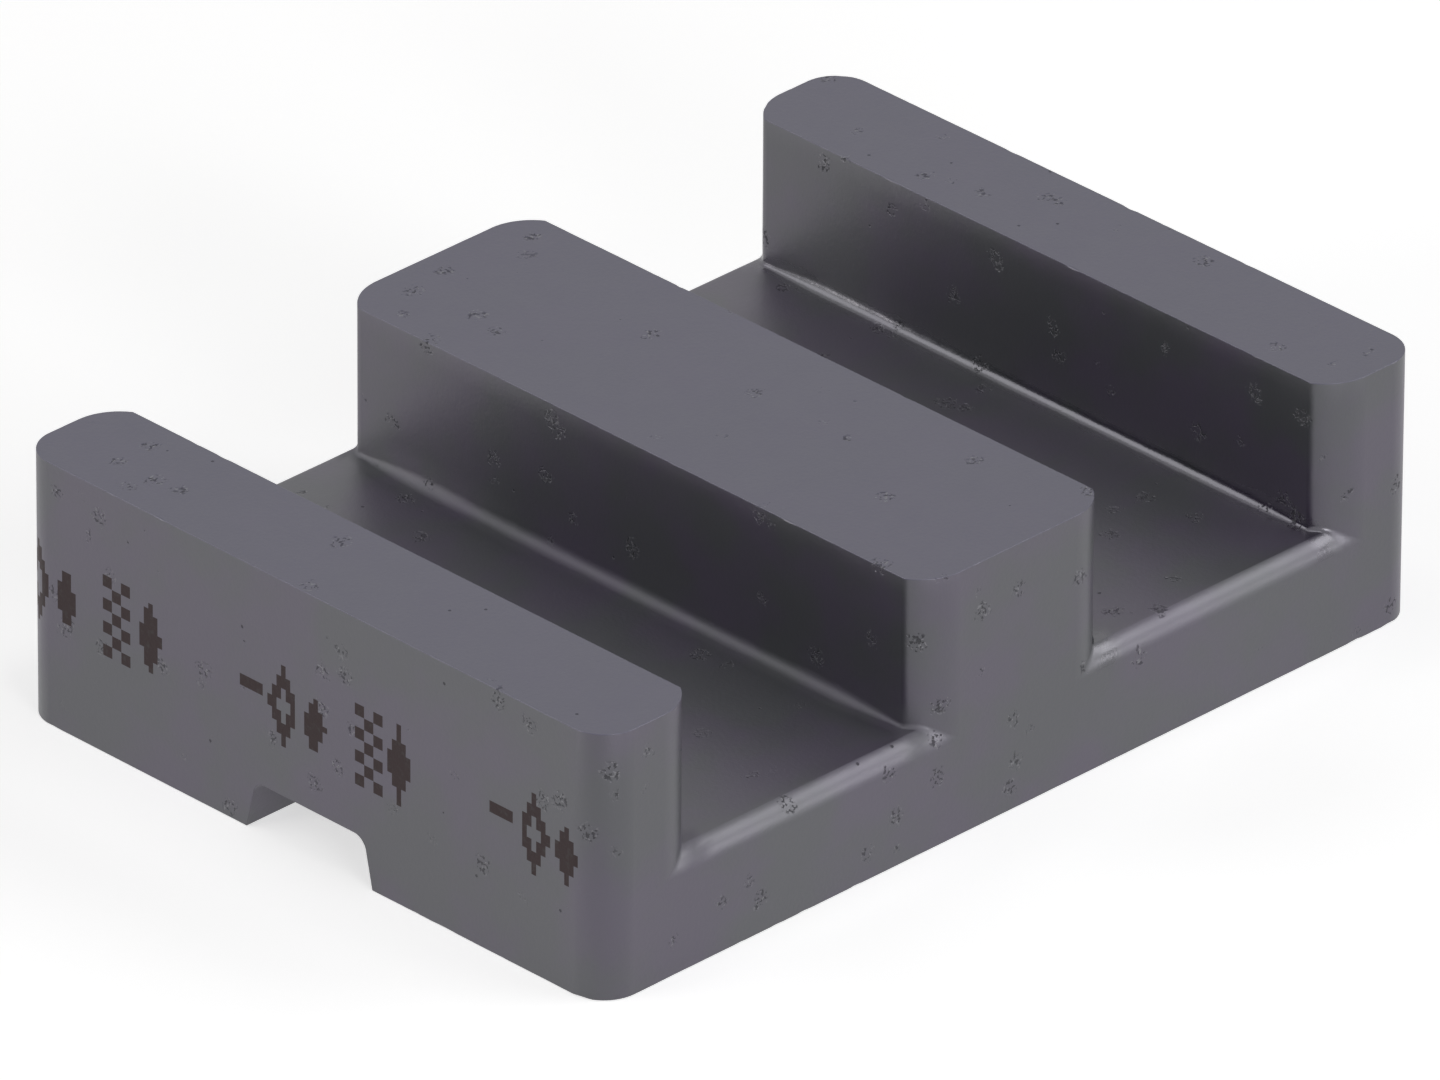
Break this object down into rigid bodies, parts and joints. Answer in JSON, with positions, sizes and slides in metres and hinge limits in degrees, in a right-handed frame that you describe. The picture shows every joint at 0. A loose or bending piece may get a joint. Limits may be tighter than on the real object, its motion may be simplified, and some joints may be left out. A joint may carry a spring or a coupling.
{
  "type": "ferrite e core",
  "caption": "Low E-shaped ferrite core half: a flat back with a wide centre leg and narrow outer legs, open winding windows between them, and a small clamp recess under each end.",
  "frame": {"origin": "middle of the flat base of the back, which is the bottom centre of the whole core", "axes": "+X across the three legs, +Y along the legs, +Z from the base towards the mating faces of the legs"},
  "size_m": [0.0218, 0.0158, 0.0057],
  "materials": {
    "ferrite": "semi-matt dark grey, as pressed and sintered, with ground mating faces"
  },
  "bodies": {
    "root": {"core": "ferrite"}
  },
  "joints": []
}
